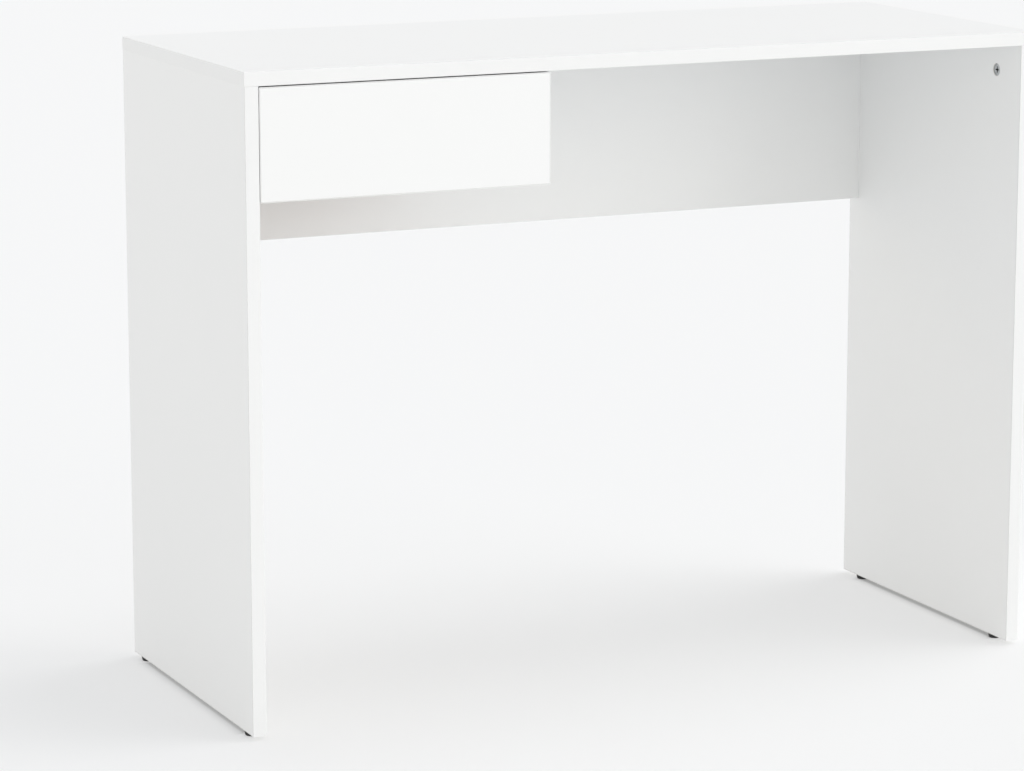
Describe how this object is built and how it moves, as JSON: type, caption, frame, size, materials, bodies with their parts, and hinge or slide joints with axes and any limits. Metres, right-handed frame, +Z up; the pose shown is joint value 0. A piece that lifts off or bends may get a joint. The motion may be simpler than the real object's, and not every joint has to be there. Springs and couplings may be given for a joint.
{
  "type": "writing desk",
  "caption": "White flat-pack writing desk with slab sides, a shallow back panel and a handle-less drawer on roller runners under the left end.",
  "frame": {"origin": "on the floor under the middle of the desktop", "axes": "+X to the user's right along the width, +Y away from the user along the depth, +Z up"},
  "size_m": [1, 0.4, 0.75],
  "materials": {
    "melamine_board": "satin",
    "edge_band": "satin",
    "drawer_board": "satin",
    "hardboard": "satin",
    "zinc_casting": "satin",
    "plated_steel": "satin",
    "beech": "matte",
    "runner_steel": "satin",
    "nylon": "satin",
    "glide_plastic": "satin"
  },
  "bodies": {
    "desk": {"back_left_cam_bolts": "plated_steel", "back_left_cam_locks": "zinc_casting", "back_left_dowels": "beech", "back_panel": "melamine_board", "back_panel_edging": "edge_band", "back_right_cam_bolts": "plated_steel", "back_right_cam_locks": "zinc_casting", "back_right_dowels": "beech", "back_top_cam_bolts": "plated_steel", "back_top_cam_locks": "zinc_casting", "back_top_dowels": "beech", "desktop": "melamine_board", "desktop_edging": "edge_band", "drawer_partition": "melamine_board", "drawer_partition_edging": "edge_band", "fixed_runner_axle_left": "plated_steel", "fixed_runner_axle_right": "plated_steel", "fixed_runner_left": "runner_steel", "fixed_runner_right": "runner_steel", "fixed_runner_screws_left": "plated_steel", "fixed_runner_screws_right": "plated_steel", "glide_left_front": "glide_plastic", "glide_left_rear": "glide_plastic", "glide_nails": "plated_steel", "glide_right_front": "glide_plastic", "glide_right_rear": "glide_plastic", "partition_cam_bolts": "plated_steel", "partition_cam_locks": "zinc_casting", "partition_dowels": "beech", "side_left_top_cam_bolts": "plated_steel", "side_left_top_cam_locks": "zinc_casting", "side_left_top_dowels": "beech", "side_panel_left": "melamine_board", "side_panel_left_edging": "edge_band", "side_panel_right": "melamine_board", "side_panel_right_edging": "edge_band", "side_right_top_cam_bolts": "plated_steel", "side_right_top_cam_locks": "zinc_casting", "side_right_top_dowels": "beech"},
    "drawer": {"drawer_back": "drawer_board", "drawer_back_screws": "plated_steel", "drawer_bottom": "hardboard", "drawer_bottom_screws": "plated_steel", "drawer_front": "melamine_board", "drawer_front_cam_bolts": "plated_steel", "drawer_front_cam_locks": "zinc_casting", "drawer_front_dowels": "beech", "drawer_front_edging": "edge_band", "drawer_runner_axle_left": "plated_steel", "drawer_runner_axle_right": "plated_steel", "drawer_runner_left": "runner_steel", "drawer_runner_right": "runner_steel", "drawer_runner_screws_left": "plated_steel", "drawer_runner_screws_right": "plated_steel", "drawer_side_left": "drawer_board", "drawer_side_right": "drawer_board"},
    "front_roller_left": {"front_roller_left": "nylon"},
    "front_roller_right": {"front_roller_right": "nylon"},
    "rear_roller_left": {"rear_roller_left": "nylon"},
    "rear_roller_right": {"rear_roller_right": "nylon"}
  },
  "joints": [
    {"name": "drawer_slide", "type": "slide", "parent": "desk", "child": "drawer", "axis": [0, -1, 0], "range_m": [0, 0.26]},
    {"name": "front_roller_left_turn", "type": "hinge", "parent": "desk", "child": "front_roller_left", "pos_m": [-0.4783, -0.17, 0.625], "axis": [1, 0, 0], "continuous": true},
    {"name": "front_roller_right_turn", "type": "hinge", "parent": "desk", "child": "front_roller_right", "pos_m": [-0.1551, -0.17, 0.625], "axis": [1, 0, 0], "continuous": true},
    {"name": "rear_roller_left_turn", "type": "hinge", "parent": "drawer", "child": "rear_roller_left", "pos_m": [-0.476, 0.1575, 0.6246], "axis": [1, 0, 0], "continuous": true},
    {"name": "rear_roller_right_turn", "type": "hinge", "parent": "drawer", "child": "rear_roller_right", "pos_m": [-0.1574, 0.1575, 0.6246], "axis": [1, 0, 0], "continuous": true}
  ],
  "couplings": [
    {"joint": "front_roller_left_turn", "follows": "drawer_slide", "rad_per_m": 117.65},
    {"joint": "front_roller_right_turn", "follows": "drawer_slide", "rad_per_m": 117.65},
    {"joint": "rear_roller_left_turn", "follows": "drawer_slide", "rad_per_m": 117.65},
    {"joint": "rear_roller_right_turn", "follows": "drawer_slide", "rad_per_m": 117.65}
  ]
}
